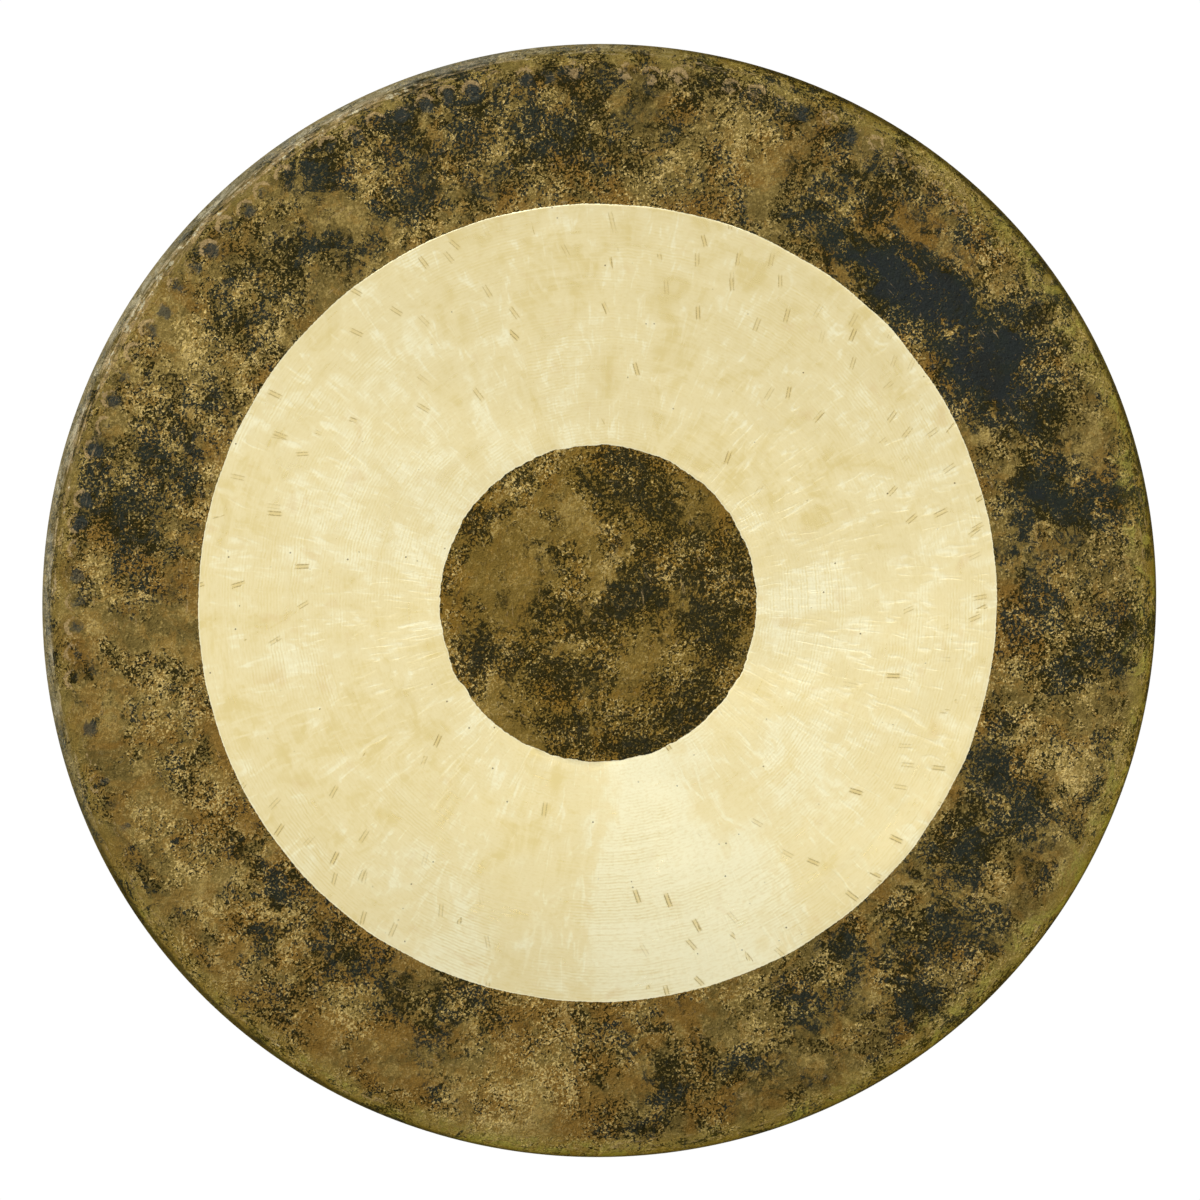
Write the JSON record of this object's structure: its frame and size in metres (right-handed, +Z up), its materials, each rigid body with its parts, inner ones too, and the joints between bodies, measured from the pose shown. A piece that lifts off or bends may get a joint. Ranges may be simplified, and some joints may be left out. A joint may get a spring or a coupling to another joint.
{
  "type": "chau gong",
  "caption": "Round hammered bronze gong with a slightly domed face, a bright shaved ring round a dark centre, and a turned-back flange drilled to hang from a cord.",
  "frame": {"origin": "centre of the gong's box: on its axis, midway between the middle of the face and the back lip", "axes": "-Y is the way the struck face looks and +Y the open back; +Z is up as the gong hangs, midway between its two cord holes"},
  "size_m": [0.812, 0.0726, 0.8112],
  "materials": {
    "hammered_bronze": "hammered, with a dark speckled cast skin left on the rim and the centre, and a bright ring of fine shaving lines between them"
  },
  "bodies": {
    "root": {"gong_disc": "hammered_bronze"}
  },
  "joints": []
}
